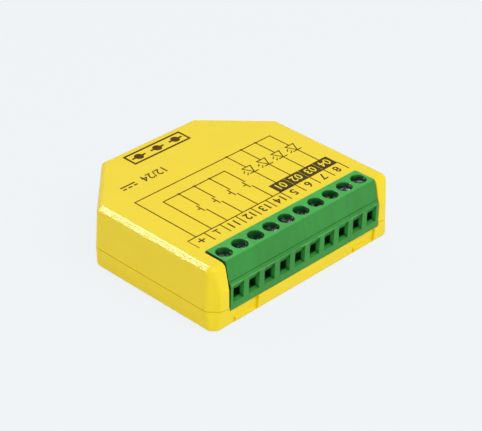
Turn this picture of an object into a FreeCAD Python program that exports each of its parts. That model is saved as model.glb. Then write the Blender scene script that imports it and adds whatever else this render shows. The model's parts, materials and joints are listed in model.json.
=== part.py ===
# Flush-mounted controller for light strips: a two-part plastic shell round a circuit
# board, with a ten-way screw terminal block along its front edge.
# Millimetres. +Z is up from the resting face, the terminals face -Y, and the origin is
# the middle of the whole object's bottom face.
import FreeCAD, Part
import math
import os
from FreeCAD import Vector

# Terminal block, across
MODULE_WAYS = (2, 3, 3, 2)      # ways in each moulded block module, left to right
PITCH = 3.5                     # from one terminal to the next
MODULE_JOINT = 0.02             # gap between neighbouring block modules
CHAMBER_WIDTH = 2.7             # clamp chamber, along the block
CHAMBER_DEPTH = 3.1             # clamp chamber, front to back
ENTRY_WIDTH = 2.0               # straight part of a wire entry
ENTRY_DROP = 0.13               # entry below the wire's space in an open clamp
FUNNEL_WIDTH = 2.35             # mouth of a wire entry
FUNNEL_DEPTH = 0.6
FUNNEL_BELOW = 0.27             # funnel reaches this far below the straight part
FUNNEL_ABOVE = 1.18             # and this far above it
THROAT_LENGTH = 0.12            # straight part behind the funnel
THROAT_HEADROOM = 0.3           # the chamber's front part reaches this far above the entry

# Terminal block, front to back
BLOCK_DEPTH = 7.0               # with the part hidden under the cover
BLOCK_SETBACK = 0.085           # block front behind the shell's front at the parting line
SCREW_SETBACK = 3.31            # screw axis behind the block front
TOP_SETBACK = 1.27              # front edge of the flat top behind the block front
TOP_STRIP = 4.22                # flat top that shows in the cover's cut-out
STRIP_RUN = 0.43                # sloping strip over the front face
STRIP_RISE = 0.35
GROOVE_DEPTH = 0.12             # groove between that strip and the slanted face
GROOVE_HEIGHT = 0.14
BLOCK_ROUNDING = 0.1            # long edges of the block
WELL_ROUNDING = 0.12            # rims of the wells over the screws

# Terminal block, upwards from the board
BLOCK_FLOOR = 1.13              # plastic under the clamp chamber
CAGE_FLOOR = 0.45
WIRE_GAP = 1.72                 # height left open for the wire
BAR_THICKNESS = 0.35            # contact bar
NUT_HEIGHT = 0.7                # threaded top of the clamp cage
SHELF = 0.43                    # ledge that carries the screw head
HEAD_HEIGHT = 0.75
HEAD_SINK = 1.1                 # screw head below the block's top
FACE_HEIGHT = 4.62              # upright front face of the block
RUN_GAP = 0.1                   # clearance of the sliding clamp cage

# Clamp parts
HEAD_RADIUS = 1.25
HEAD_GAP = 0.1                  # head to the wall of its bore
SHANK_RADIUS = 1.0
SHANK_GAP = 0.06                # shank to the shelf and to the cage's nut
SLOT_WIDTH = 0.5
SLOT_DEPTH = 0.45
HEAD_BEVEL = 0.1
CAGE_WIDTH = 2.5
CAGE_DEPTH = 2.9
CAGE_SIDE = 0.3                 # thickness of the cage's side walls
BAR_WIDTH = 1.3
TAIL_WIDTH = 0.7
TAIL_OUT = 0.65                 # solder tail below the board
CONTACT_GAP = 0.05              # contact to its slot in the plastic
SCREW_LIFTS = (0.0, 0.05, 0.0, 0.3, 0.3, 0.1, 0.1, 0.1, 0.25, 0.25)
SCREW_TURNS = (-56, -89, 45, -68, -68, 50, 38, 25, -60, -44)

# Shell
CHEEK_WIDTH = 3.5               # shell beside each end of the block
CHEEK_RISE = 3.2                # cheek's front is upright this far above the parting line
CHEEK_LEAN = 13.8               # degrees that it leans back above that
CHEEK_ROUNDING = 0.2            # edges of the cheeks along the block
COVER_DROP = 0.2                # cover's top below the block's top
END_GAP = 0.2                   # block end to cheek
BACK_GAP = 0.08                 # block top to the cover's edge behind it
SHELL_DEPTH = 37.2
REAR_CORNER = 10.4              # 45 degree cut of the rear corners
FRONT_CORNER = 1.75             # 45 degree cut of the front corners
FOOT_CORNER = 1.1               # the same cut at the bottom of the base
COVER_RADIUS = 1.1              # upright edges of the cover and its rim
BASE_RADIUS = 0.85              # upright edges of the base and its bottom edge
COVER_DRAFT = 2.0               # degrees that the cover's walls lean in
BASE_DRAFT = 2.0                # degrees that the base's walls lean in
PARTING_RISE = 0.75             # parting line above the board's top
PARTING_BEVEL = 0.06
PARTING_GAP = 0.07              # shadow gap between cover and base
PARTING_LEDGE = 0.45            # depth of that gap
WALL = 1.2
ROOF = 1.2
FLOOR = 1.0
FRONT_WALL = 1.9                # base wall under the block
CHEEK_LINER = 0.8               # cover wall along each end of the block
LIP_THICKNESS = 0.5             # raised lip of the base inside the cover
LIP_HEIGHT = 1.3
LIP_GAP = 0.1
RIDGE_HEIGHT = 0.25             # snap ridge on the lip
RIDGE_LENGTH = 6.0
RIDGE_RISE = 0.7                # middle of the snap ridge above the parting line

# Snap pockets in the base's front wall
POCKET_WIDTH = 5.65
POCKET_OFFSET = 14.0            # middle of each pocket from the middle of the block
POCKET_DEPTH = 0.5
TONGUE_SETBACK = 0.06           # tongue's face behind the wall's face
TONGUE_TOP = 0.95               # where the tongue's slope starts
TONGUE_RISE = 0.22              # rise of its slope up to the pocket's back
TONGUE_SIDE_GAP = 0.7

# Circuit board
PIN_SPACE = 0.85                # room under the board for solder tails
BOARD_THICKNESS = 1.2
BOARD_INSET = 2.05              # board edge inside the shell's outline
BOARD_FRONT_GAP = 0.25
PIN_HOLE_RADIUS = 0.55
SOLDER_RADIUS = 0.85
SOLDER_HEIGHT = 0.45
POST_RADIUS = 1.2
PIN_RADIUS = 0.9                # cover pins that hold the board down
SUPPORT_EDGE = 1.3              # posts and pins inside the board's edge
SUPPORT_BEHIND = 1.7            # front posts behind the block
SEAT_GAP = 0.03

# Service face at the rear
SERVICE_RISE = 2.3              # button, light pipe and header above the board
BUTTON_X = -6.5
BUTTON_RADIUS = 1.15
BUTTON_GAP = 0.07
BUTTON_RECESS = 0.25
BUTTON_TRAVEL = 0.3
FLANGE_RADIUS = 1.7
FLANGE_THICKNESS = 0.5
FLANGE_GAP = 0.05
PLUNGER_RADIUS = 0.8
PLUNGER_GAP = 0.05
SWITCH_WIDTH = 4.6
SWITCH_DEPTH = 3.1
SWITCH_HEIGHT = 3.9
SWITCH_CLEAR = 0.5              # flange to switch body with the button pressed
PIPE_X = -2.4
PIPE_WIDTH = 1.2
PIPE_NOSE_RADIUS = 0.7
PIPE_GAP = 0.06
LED_SIZE = (1.6, 1.2, 0.7)
LED_GAP = 0.1
HEADER_X = 4.6
HEADER_WAYS = 7
HEADER_PITCH = 1.27
HEADER_MARGIN = 0.3
HEADER_DEPTH = 3.9
HEADER_CLEAR = 0.15             # header face to the cover's wall
HEADER_HOLE = 0.7
HEADER_HOLE_DEPTH = 2.6
HEADER_SLOT_HEIGHT = 1.5
HEADER_PIN = 0.4

# Radio module
RADIO_WIDTH = 12.0
RADIO_LENGTH = 16.0
RADIO_BOARD = 0.8
RADIO_X = -11.5
RADIO_Y = -0.5
CAN_WIDTH = 11.0
CAN_LENGTH = 9.6
CAN_HEIGHT = 2.0
CAN_WALL = 0.2
CAN_MARGIN = 0.4
TRACE_WIDTH = 0.5
TRACE_THICKNESS = 0.06
TRACE_REACH = 3.6
TRACE_FINGERS = 6
PROCESSOR_SIZE = (5.0, 5.0, 0.85)
PROCESSOR_PLACE = (1.6, 0.0)    # from the middle of the shield can
FLASH_SIZE = (3.0, 2.4, 0.6)
FLASH_PLACE = (-3.2, 2.0)
CRYSTAL_SIZE = (2.0, 1.6, 0.5)
CRYSTAL_PLACE = (-3.2, -2.4)

# Power parts on the board
CAPACITOR_SIDE = 7.0            # middle of the capacitor inside the shell's side
CAPACITOR_GAP = 0.315           # sense resistors to the capacitor's plate
CAPACITOR_RADIUS = 3.15
CAPACITOR_ROUNDING = 0.4
CAPACITOR_HEIGHT = 5.4
CAPACITOR_PLATE = 6.6
CAPACITOR_PLATE_HEIGHT = 0.6
INDUCTOR_SIZE = 6.0
INDUCTOR_HEIGHT = 2.8
INDUCTOR_CUT = 1.2
INDUCTOR_PAD = 0.25
INDUCTOR_GAP = 1.5              # to the capacitor
TRANSISTOR_LENGTH = 6.0
TRANSISTOR_WIDTH = 4.8
TRANSISTOR_HEIGHT = 1.0
TRANSISTOR_PITCH = 5.2
TRANSISTOR_COUNT = 4
TRANSISTOR_EDGE = 0.3           # last one inside the board's side edge
TRANSISTOR_BEHIND = 3.2         # row behind the block
LEAD_COUNT = 4                  # at each end of a transistor
LEAD_PITCH = 1.02
LEAD_LENGTH = 0.5
LEAD_THICKNESS = 0.25
CHIP_BEHIND = 1.3               # row of small chips behind the block
RESISTOR_SIZE = (0.8, 1.6, 0.45)
RESISTOR_COUNT = 6
CERAMIC_SIZE = (0.8, 1.6, 0.8)
CERAMIC_COUNT = 4
BULK_CERAMIC_SIZE = (2.0, 1.25, 1.2)
BULK_CERAMIC_PITCH = 2.2
BULK_CERAMIC_GAP = 7.2          # inductor to the middle of these
SENSE_SIZE = (3.2, 1.4, 0.6)
SENSE_GAP = 0.4                 # transistor leads to the sense resistors
CONVERTER_SIZE = (3.9, 4.9, 1.5)
CONVERTER_GAP = 3.4             # inductor to the middle of the converter
DIODE_SIZE = (4.4, 3.6, 2.2)
DIODE_PLACE = (-2.4, 6.0)       # from the middle of the inductor
SURGE_PLACE = (3.6, 6.0)
FUSE_SIZE = (4.2, 2.6, 1.0)
FUSE_PLACE = (-7.15, 6.0)
DRIVER_SIZE = (3.0, 3.0, 0.9)
DRIVER_GAP = 0.2                # to the radio module's edge
DRIVER_BEHIND = 5.9             # its middle behind the block

# How far cutting shapes reach past the faces that they cut
OVER = 1.0
BIG = 100.0

# Worked out from the sizes above
WAYS = sum(MODULE_WAYS)
BLOCK_LENGTH = WAYS * PITCH
SHELL_WIDTH = BLOCK_LENGTH + 2 * (END_GAP + CHEEK_WIDTH)
REAR_Y = SHELL_DEPTH / 2
FRONT_Y = -REAR_Y
BLOCK_FRONT = FRONT_Y + BLOCK_SETBACK
SCREW_Y = BLOCK_FRONT + SCREW_SETBACK
TOP_FRONT_Y = BLOCK_FRONT + TOP_SETBACK
TOP_REAR_Y = TOP_FRONT_Y + TOP_STRIP
BLOCK_REAR = BLOCK_FRONT + BLOCK_DEPTH
CLAMP_TRAVEL = WIRE_GAP - RUN_GAP

BOARD_Z = FLOOR + PIN_SPACE
BOARD_TOP = BOARD_Z + BOARD_THICKNESS
CHAMBER_Z = BOARD_TOP + BLOCK_FLOOR
CAGE_Z = CHAMBER_Z + RUN_GAP
WIRE_Z = CAGE_Z + CAGE_FLOOR
BAR_Z = WIRE_Z + WIRE_GAP
ENTRY_Z = WIRE_Z - ENTRY_DROP
ENTRY_TOP = BAR_Z - ENTRY_DROP
BAR_TOP = BAR_Z + BAR_THICKNESS
NUT_Z = BAR_TOP + RUN_GAP
NUT_TOP = NUT_Z + NUT_HEIGHT
SHELF_Z = NUT_TOP + CLAMP_TRAVEL + RUN_GAP
SEAT_Z = SHELF_Z + SHELF
TOP_Z = SEAT_Z + HEAD_HEIGHT + HEAD_SINK
COVER_TOP = TOP_Z - COVER_DROP
ROOF_Z = COVER_TOP - ROOF
PARTING_Z = BOARD_TOP + PARTING_RISE
SERVICE_Z = BOARD_TOP + SERVICE_RISE
WALL_INNER_Y = REAR_Y - WALL
HALF_OPENING = BLOCK_LENGTH / 2 + END_GAP
DIAGONAL = 2 - math.sqrt(2)
WELL_RIM = 2 * math.pi * (HEAD_RADIUS + HEAD_GAP)


def outline(inset, front=None, corner=FRONT_CORNER):
    """Corner points of the shell's outline, moved in by inset on every side."""
    half = SHELL_WIDTH / 2 - inset
    rear = REAR_Y - inset
    near = FRONT_Y + inset if front is None else front
    cut = REAR_CORNER - inset * DIAGONAL
    nick = corner - inset * DIAGONAL
    right = [(half - nick, near), (half, near + nick), (half, rear - cut), (half - cut, rear)]
    left = [(-x, y) for x, y in reversed(right)]
    return right + left


def bridge(near, far):
    """Solid with flat sides between two flat rings of as many points."""
    count = len(near)
    faces = [Part.Face(Part.makePolygon(near[::-1] + near[-1:]))]
    faces.append(Part.Face(Part.makePolygon(far + far[:1])))
    for i in range(count):
        j = (i + 1) % count
        faces.append(Part.Face(Part.makePolygon([near[i], near[j], far[j], far[i], near[i]])))
    solid = Part.Solid(Part.Shell(faces))
    if solid.Volume < 0:
        solid.reverse()
    return solid


def prism(low, z_low, high, z_high):
    """Solid with flat sides between an outline at one height and one at another."""
    return bridge([Vector(x, y, z_low) for x, y in low], [Vector(x, y, z_high) for x, y in high])


def block(x0, x1, y0, y1, z0, z1):
    """Box between two corners."""
    return Part.makeBox(x1 - x0, y1 - y0, z1 - z0, Vector(x0, y0, z0))


def centred(x, y, length, width, z0, z1):
    """Box centred on x and y."""
    return block(x - length / 2, x + length / 2, y - width / 2, y + width / 2, z0, z1)


def post(x, y, radius, z0, z1):
    """Upright cylinder."""
    return Part.makeCylinder(radius, z1 - z0, Vector(x, y, z0))


def rod(x, z, radius, y0, y1):
    """Cylinder along Y."""
    return Part.makeCylinder(radius, y1 - y0, Vector(x, y0, z), Vector(0, 1, 0))


def join(shapes):
    """One solid from overlapping or touching shapes."""
    whole = shapes[0]
    if len(shapes) > 1:
        whole = whole.fuse(shapes[1:])
    return whole.removeSplitter()


def level_edges(shape, z):
    """Edges that lie at height z."""
    return [e for e in shape.Edges if all(abs(v.Z - z) < 1e-6 for v in e.Vertexes)]


def upright_edges(shape, z0, z1):
    """Edges that run from height z0 to height z1."""
    found = []
    for edge in shape.Edges:
        heights = sorted(v.Z for v in edge.Vertexes)
        if abs(heights[0] - z0) < 1e-6 and abs(heights[-1] - z1) < 1e-6:
            found.append(edge)
    return found


def way_x(way):
    """Middle of a terminal, counted from the left."""
    return (way - (WAYS - 1) / 2) * PITCH


# Places of the board's supports, under the cover's pins
def support_places():
    board = outline(BOARD_INSET)
    side_x = board[2][0] - SUPPORT_EDGE
    side_y = BLOCK_REAR + SUPPORT_BEHIND
    rear_x = (board[2][0] + board[3][0]) / 2 - SUPPORT_EDGE
    rear_y = (board[2][1] + board[3][1]) / 2 - SUPPORT_EDGE
    return [(side_x, side_y), (-side_x, side_y), (rear_x, rear_y), (-rear_x, rear_y)]


# Top cover
def top_cover():
    lean = math.tan(math.radians(COVER_DRAFT)) * (COVER_TOP - PARTING_Z)
    body = prism(outline(0), PARTING_Z, outline(lean), COVER_TOP).cut(front_slant())
    parting = level_edges(body, PARTING_Z)
    edges = [e for e in body.Edges if not any(e.isSame(line) for line in parting)]
    body = body.makeFillet(COVER_RADIUS, edges)
    body = body.makeChamfer(PARTING_BEVEL, level_edges(body, PARTING_Z))
    room = prism(outline(WALL), PARTING_Z - OVER, outline(WALL), ROOF_Z)
    liners = [cheek_liner(1), cheek_liner(-1)]
    room = room.cut(liners)
    body = body.cut(room)
    opening = block(-HALF_OPENING, HALF_OPENING, FRONT_Y - OVER, TOP_REAR_Y + BACK_GAP, 0, BIG)
    under = block(-HALF_OPENING, HALF_OPENING, FRONT_Y - OVER, BLOCK_REAR, 0, ROOF_Z)
    body = body.cut([opening, under])
    body = body.makeFillet(CHEEK_ROUNDING, opening_edges(body))
    body = body.cut(service_holes() + ridge_bars(LIP_GAP))
    pins = [post(x, y, PIN_RADIUS, BOARD_TOP + SEAT_GAP, ROOF_Z + ROOF / 2)
            for x, y in support_places()]
    return join([body] + pins)


def front_slant():
    """Wedge that leans the upper front of the cover back like the block's."""
    lean = math.tan(math.radians(COVER_DRAFT))
    foot_z = PARTING_Z + CHEEK_RISE
    foot_y = FRONT_Y + lean * CHEEK_RISE
    top_y = foot_y + math.tan(math.radians(CHEEK_LEAN)) * (TOP_Z - foot_z)
    points = [(foot_y - BIG, foot_z), (foot_y, foot_z), (top_y, TOP_Z), (top_y - BIG, TOP_Z)]
    corners = [Vector(-BIG, y, z) for y, z in points]
    return Part.Face(Part.makePolygon(corners + corners[:1])).extrude(Vector(2 * BIG, 0, 0))


def opening_edges(body):
    """Outer edges of the cover along the sides of the block's opening."""
    found = []
    for edge in body.Edges:
        spots = [v.Point for v in edge.Vertexes] + [edge.CenterOfMass]
        beside = all(abs(abs(p.x) - HALF_OPENING) < 1e-6 for p in spots)
        outside = all(p.y < TOP_REAR_Y + BACK_GAP + 1e-6 and p.z > PARTING_Z + PARTING_BEVEL / 2
                      for p in spots)
        front = all(p.y < FRONT_Y + COVER_RADIUS or p.z > ROOF_Z for p in spots)
        if beside and outside and front:
            found.append(edge)
    return found


def cheek_liner(side):
    """Wall between a cheek's hollow and the end of the block."""
    outer = HALF_OPENING + CHEEK_LINER
    low, high = sorted((side * HALF_OPENING, side * outer))
    return block(low, high, FRONT_Y - OVER, BLOCK_REAR, 0, ROOF_Z)


def service_holes():
    """Holes in the rear wall for the button, the light pipe and the header."""
    button = rod(BUTTON_X, SERVICE_Z, BUTTON_RADIUS + BUTTON_GAP, WALL_INNER_Y - OVER, REAR_Y + OVER)
    pipe = rod(PIPE_X, SERVICE_Z, PIPE_NOSE_RADIUS + PIPE_GAP, WALL_INNER_Y - OVER, REAR_Y + OVER)
    length = HEADER_WAYS * HEADER_PITCH
    half = HEADER_SLOT_HEIGHT / 2
    slot = block(HEADER_X - length / 2, HEADER_X + length / 2, WALL_INNER_Y - OVER, REAR_Y + OVER,
                 SERVICE_Z - half, SERVICE_Z + half)
    ends = [rod(HEADER_X + s * length / 2, SERVICE_Z, half, WALL_INNER_Y - OVER, REAR_Y + OVER)
            for s in (-1, 1)]
    return [button, pipe, slot] + ends


def ridge_bars(gap):
    """Snap ridges of the lip, or with a gap the grooves that they click into."""
    face = SHELL_WIDTH / 2 - WALL - LIP_GAP
    reach = RIDGE_HEIGHT + gap
    middle = PARTING_Z + RIDGE_RISE
    half = RIDGE_LENGTH / 2 + gap
    bars = []
    for side in (-1, 1):
        points = [(face - LIP_THICKNESS / 2, middle - reach * 2), (face + reach, middle),
                  (face - LIP_THICKNESS / 2, middle + reach * 2)]
        corners = [Vector(side * x, -half, z) for x, z in points]
        profile = Part.Face(Part.makePolygon(corners + corners[:1]))
        bars.append(profile.extrude(Vector(0, 2 * half, 0)))
    return bars


# Base shell
def base_shell():
    lean = math.tan(math.radians(BASE_DRAFT)) * PARTING_Z
    foot = outline(lean, corner=FOOT_CORNER)
    rim_z = PARTING_Z - PARTING_GAP
    body = prism(foot, 0, outline(0), rim_z)
    body = body.makeFillet(BASE_RADIUS, upright_edges(body, 0, rim_z) + level_edges(body, 0))
    ledge = outline(PARTING_LEDGE)
    body = body.fuse(prism(ledge, rim_z - OVER, ledge, PARTING_Z))
    room = outline(WALL, FRONT_Y + FRONT_WALL)
    body = body.cut(prism(room, FLOOR, room, BIG))
    seat = block(-HALF_OPENING, HALF_OPENING, FRONT_Y - OVER, FRONT_Y + FRONT_WALL + OVER, BOARD_TOP, BIG)
    body = body.cut([seat] + snap_pockets())
    posts = [post(x, y, POST_RADIUS, FLOOR / 2, BOARD_Z) for x, y in support_places()]
    return join([body, base_lip()] + posts + ridge_bars(0))


def base_lip():
    """Raised lip along the sides and the cut corners, inside the cover's wall."""
    outer = outline(WALL + LIP_GAP)
    inner = outline(WALL + LIP_GAP + LIP_THICKNESS)
    top = PARTING_Z + LIP_HEIGHT
    ring = prism(outer, FLOOR / 2, outer, top).cut(prism(inner, 0, inner, top + OVER))
    rear_half = SHELL_WIDTH / 2 - REAR_CORNER
    rear = block(-rear_half, rear_half, 0, BIG, BOARD_Z, BIG)
    front = block(-BIG, BIG, -BIG, BLOCK_REAR + LIP_GAP, 0, BIG)
    wall = prism(outline(0), 0, outline(0), PARTING_Z)
    room = outline(WALL)
    backing = wall.cut(prism(room, 0, room, BIG))
    lip = ring.cut([rear, front])
    foot = prism(outline(WALL - LIP_GAP), PARTING_Z - 2 * LIP_THICKNESS,
                 outline(WALL - LIP_GAP), PARTING_Z - LIP_GAP)
    foot = foot.cut([prism(outer, 0, outer, BIG), rear, front]).cut(backing)
    return lip.fuse(foot)


def snap_pockets():
    """Pockets in the wall under the block, each with a sloping tongue left in it."""
    pockets = []
    for side in (-1, 1):
        middle = side * POCKET_OFFSET
        half = POCKET_WIDTH / 2
        whole = block(middle - half, middle + half, FRONT_Y - OVER, FRONT_Y + POCKET_DEPTH, -OVER,
                      BOARD_TOP + OVER)
        face = FRONT_Y + TONGUE_SETBACK
        deep = FRONT_Y + POCKET_DEPTH + OVER
        deep_z = TONGUE_TOP + TONGUE_RISE * (deep - face) / (POCKET_DEPTH - TONGUE_SETBACK)
        points = [(face, -2 * OVER), (deep, -2 * OVER), (deep, deep_z), (face, TONGUE_TOP)]
        left = middle - half + TONGUE_SIDE_GAP
        corners = [Vector(left, y, z) for y, z in points]
        profile = Part.Face(Part.makePolygon(corners + corners[:1]))
        tongue = profile.extrude(Vector(POCKET_WIDTH - 2 * TONGUE_SIDE_GAP, 0, 0))
        pockets.append(whole.cut(tongue))
    return pockets


# Terminal block
def block_profile(x):
    """Side view of the block at x, from the bottom front corner round."""
    face_top = BOARD_TOP + FACE_HEIGHT
    strip_y = BLOCK_FRONT + STRIP_RUN
    strip_z = face_top + STRIP_RISE
    step_z = ROOF_Z - RUN_GAP
    points = [(BLOCK_FRONT, BOARD_TOP), (BLOCK_FRONT, face_top), (strip_y, strip_z),
              (strip_y + GROOVE_DEPTH, strip_z + GROOVE_HEIGHT / 2),
              (strip_y + GROOVE_DEPTH / 3, strip_z + GROOVE_HEIGHT),
              (TOP_FRONT_Y, TOP_Z), (TOP_REAR_Y, TOP_Z), (TOP_REAR_Y, step_z),
              (BLOCK_REAR - RUN_GAP, step_z), (BLOCK_REAR - RUN_GAP, BOARD_TOP)]
    corners = [Vector(x, y, z) for y, z in points]
    return Part.Face(Part.makePolygon(corners + corners[:1]))


def way_cuts(x):
    """Everything hollowed out of the block for the terminal at x."""
    bore = post(x, SCREW_Y, HEAD_RADIUS + HEAD_GAP, SEAT_Z, TOP_Z + OVER)
    neck = post(x, SCREW_Y, SHANK_RADIUS + SHANK_GAP, SHELF_Z - OVER, SEAT_Z + OVER)
    chamber = centred(x, SCREW_Y, CHAMBER_WIDTH, CHAMBER_DEPTH, CHAMBER_Z, SHELF_Z)
    entry = block(x - ENTRY_WIDTH / 2, x + ENTRY_WIDTH / 2, BLOCK_FRONT - OVER, SCREW_Y, ENTRY_Z,
                  ENTRY_TOP)
    porch = block(x - CHAMBER_WIDTH / 2, x + CHAMBER_WIDTH / 2,
                  BLOCK_FRONT + FUNNEL_DEPTH + THROAT_LENGTH, SCREW_Y, CHAMBER_Z,
                  ENTRY_TOP + THROAT_HEADROOM)
    slots = contact_slots(x)
    return [bore, neck, chamber, entry, porch, wire_funnel(x)] + slots


def wire_funnel(x):
    """Bevelled mouth of a wire entry."""
    mouth = FUNNEL_WIDTH / 2
    throat = ENTRY_WIDTH / 2
    outer = [(x - mouth, ENTRY_Z - FUNNEL_BELOW), (x + mouth, ENTRY_Z - FUNNEL_BELOW),
             (x + mouth, ENTRY_TOP + FUNNEL_ABOVE), (x - mouth, ENTRY_TOP + FUNNEL_ABOVE)]
    inner = [(x - throat, ENTRY_Z), (x + throat, ENTRY_Z), (x + throat, ENTRY_TOP),
             (x - throat, ENTRY_TOP)]
    near = [Vector(a, BLOCK_FRONT, b) for a, b in outer]
    far = [Vector(a, BLOCK_FRONT + FUNNEL_DEPTH, b) for a, b in inner]
    return bridge(near, far)


def contact_places():
    """Front and rear of the contact's bar and of its upright leg."""
    chamber_rear = SCREW_Y + CHAMBER_DEPTH / 2
    bar_front = SCREW_Y - CAGE_DEPTH / 2 + RUN_GAP
    leg_front = chamber_rear + 2 * BAR_THICKNESS
    return bar_front, leg_front, leg_front + BAR_THICKNESS


def contact_slots(x):
    """Slots in the plastic round one contact."""
    bar_front, leg_front, leg_rear = contact_places()
    half = BAR_WIDTH / 2 + CONTACT_GAP
    bar = block(x - half, x + half, SCREW_Y, leg_rear + CONTACT_GAP, BAR_Z - CONTACT_GAP,
                BAR_TOP + CONTACT_GAP)
    leg = block(x - half, x + half, leg_front - CONTACT_GAP, leg_rear + CONTACT_GAP,
                BOARD_TOP - OVER, BAR_TOP)
    return [bar, leg]


def housing_module(first, count):
    """One moulded module of the block, with its ways hollowed out."""
    x0 = way_x(first) - PITCH / 2 + MODULE_JOINT / 2
    x1 = way_x(first + count - 1) + PITCH / 2 - MODULE_JOINT / 2
    body = block_profile(x0).extrude(Vector(x1 - x0, 0, 0))
    body = body.makeFillet(BLOCK_ROUNDING, long_edges(body))
    cuts = []
    for way in range(first, first + count):
        cuts += way_cuts(way_x(way))
    body = body.cut(cuts)
    rims = [e for e in level_edges(body, TOP_Z) if abs(e.Length - WELL_RIM) < 1e-6]
    return body.makeFillet(WELL_ROUNDING, rims)


def long_edges(body):
    """Edges along the block at its front, strip and top."""
    places = [(BLOCK_FRONT, BOARD_TOP + FACE_HEIGHT),
              (BLOCK_FRONT + STRIP_RUN, BOARD_TOP + FACE_HEIGHT + STRIP_RISE), (TOP_FRONT_Y, TOP_Z)]
    found = []
    for edge in body.Edges:
        ends = [(v.Y, v.Z) for v in edge.Vertexes]
        for y, z in places:
            if all(math.hypot(a - y, b - z) < 1e-6 for a, b in ends):
                found.append(edge)
    return found


def contact(x):
    """Contact bar, its leg and its solder tail, bent from one strip."""
    bar_front, leg_front, leg_rear = contact_places()
    half = BAR_WIDTH / 2
    bar = block(x - half, x + half, bar_front, leg_rear, BAR_Z, BAR_TOP)
    leg = block(x - half, x + half, leg_front, leg_rear, BOARD_TOP + SEAT_GAP, BAR_TOP)
    tail = block(x - TAIL_WIDTH / 2, x + TAIL_WIDTH / 2, leg_front, leg_rear,
                 BOARD_Z - TAIL_OUT, BAR_Z)
    return join([bar, leg, tail])


def solder_cone(x):
    """Solder round one tail under the board."""
    bar_front, leg_front, leg_rear = contact_places()
    middle = (leg_front + leg_rear) / 2
    cone = Part.makeCone(PIN_HOLE_RADIUS, SOLDER_RADIUS, SOLDER_HEIGHT,
                         Vector(x, middle, BOARD_Z - SOLDER_HEIGHT))
    tail = centred(x, middle, TAIL_WIDTH, BAR_THICKNESS, 0, BOARD_TOP)
    return cone.cut(tail)


def terminal_screw(way):
    """Slotted screw, turned and raised as it was left when last used."""
    x = way_x(way)
    seat = SEAT_Z + SCREW_LIFTS[way % len(SCREW_LIFTS)]
    top = seat + HEAD_HEIGHT
    head = post(x, SCREW_Y, HEAD_RADIUS, seat, top)
    head = head.makeChamfer(HEAD_BEVEL, level_edges(head, top))
    shank_end = BAR_TOP + RUN_GAP / 2
    shank = post(x, SCREW_Y, SHANK_RADIUS, shank_end, seat)
    shank = shank.makeChamfer(HEAD_BEVEL, level_edges(shank, shank_end))
    slot = centred(x, SCREW_Y, 3 * HEAD_RADIUS, SLOT_WIDTH, top - SLOT_DEPTH, top + OVER)
    slot.rotate(Vector(x, SCREW_Y, 0), Vector(0, 0, 1), SCREW_TURNS[way % len(SCREW_TURNS)])
    return join([head, shank]).cut(slot)


def clamp_cage(way):
    """Cage that the screw draws up, so that its floor presses the wire to the bar."""
    x = way_x(way)
    body = centred(x, SCREW_Y, CAGE_WIDTH, CAGE_DEPTH, CAGE_Z, NUT_TOP)
    window = centred(x, SCREW_Y, CAGE_WIDTH - 2 * CAGE_SIDE, 2 * CAGE_DEPTH, WIRE_Z, NUT_Z)
    groove_z = NUT_Z - CLAMP_TRAVEL - RUN_GAP
    thread = post(x, SCREW_Y, SHANK_RADIUS + SHANK_GAP, groove_z, NUT_TOP + OVER)
    return body.cut([window, thread])


# Circuit board
def circuit_board():
    edge = outline(BOARD_INSET, FRONT_Y + FRONT_WALL + BOARD_FRONT_GAP)
    board = prism(edge, BOARD_Z, edge, BOARD_TOP)
    bar_front, leg_front, leg_rear = contact_places()
    middle = (leg_front + leg_rear) / 2
    holes = [post(way_x(way), middle, PIN_HOLE_RADIUS, 0, BIG) for way in range(WAYS)]
    holes += [post(x, header_pin_y(), HEADER_PIN, 0, BIG) for x in header_xs()]
    return board.cut(holes)


def on_board(x, y, size):
    """Box-shaped component standing on the board."""
    return centred(x, y, size[0], size[1], BOARD_TOP, BOARD_TOP + size[2])


# Service parts at the rear edge
def control_button():
    flange_rear = WALL_INNER_Y - FLANGE_GAP
    flange = rod(BUTTON_X, SERVICE_Z, FLANGE_RADIUS, flange_rear - FLANGE_THICKNESS, flange_rear)
    nose = rod(BUTTON_X, SERVICE_Z, BUTTON_RADIUS, flange_rear - FLANGE_THICKNESS / 2,
               REAR_Y - BUTTON_RECESS)
    rim = [e for e in nose.Edges if e.CenterOfMass.y > REAR_Y - BUTTON_RECESS - 1e-6]
    nose = nose.makeFillet(HEAD_BEVEL, rim)
    return join([flange, nose])


def switch_faces():
    """Rear face of the switch body and of its plunger."""
    plunger_rear = WALL_INNER_Y - FLANGE_GAP - FLANGE_THICKNESS
    return plunger_rear - BUTTON_TRAVEL - SWITCH_CLEAR, plunger_rear


def switch_plunger():
    body_rear, plunger_rear = switch_faces()
    return rod(BUTTON_X, SERVICE_Z, PLUNGER_RADIUS, body_rear - SWITCH_DEPTH / 2, plunger_rear)


def switch_body():
    body_rear, plunger_rear = switch_faces()
    body = block(BUTTON_X - SWITCH_WIDTH / 2, BUTTON_X + SWITCH_WIDTH / 2, body_rear - SWITCH_DEPTH,
                 body_rear, BOARD_TOP, BOARD_TOP + SWITCH_HEIGHT)
    depth = SWITCH_DEPTH / 2 + BUTTON_TRAVEL + PLUNGER_GAP
    bore = rod(BUTTON_X, SERVICE_Z, PLUNGER_RADIUS + PLUNGER_GAP, body_rear - depth, body_rear + OVER)
    return body.cut(bore)


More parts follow.
